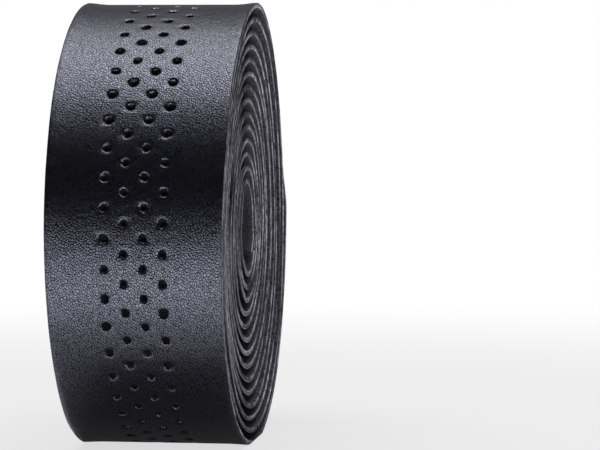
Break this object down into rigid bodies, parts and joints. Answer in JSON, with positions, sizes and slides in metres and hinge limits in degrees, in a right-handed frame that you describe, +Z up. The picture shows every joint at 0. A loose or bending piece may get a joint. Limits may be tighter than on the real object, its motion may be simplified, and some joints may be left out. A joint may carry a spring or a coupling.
{
  "type": "handlebar tape roll",
  "caption": "Roll of perforated black cushioned tape for wrapping drop handlebars, wound up on itself without a core.",
  "frame": {"origin": "middle of the small flat spot on the rim that the soft roll stands on, midway across the width of the last turn", "axes": "+Z up from the flat spot to the winding axis; X along the winding axis, +X out of the end face whose inner turns stand back; from +X the strip winds outwards anticlockwise"},
  "size_m": [0.0315, 0.0804, 0.0788],
  "materials": {
    "tape": "satin"
  },
  "bodies": {
    "root": {"tape_roll": "tape"}
  },
  "joints": []
}
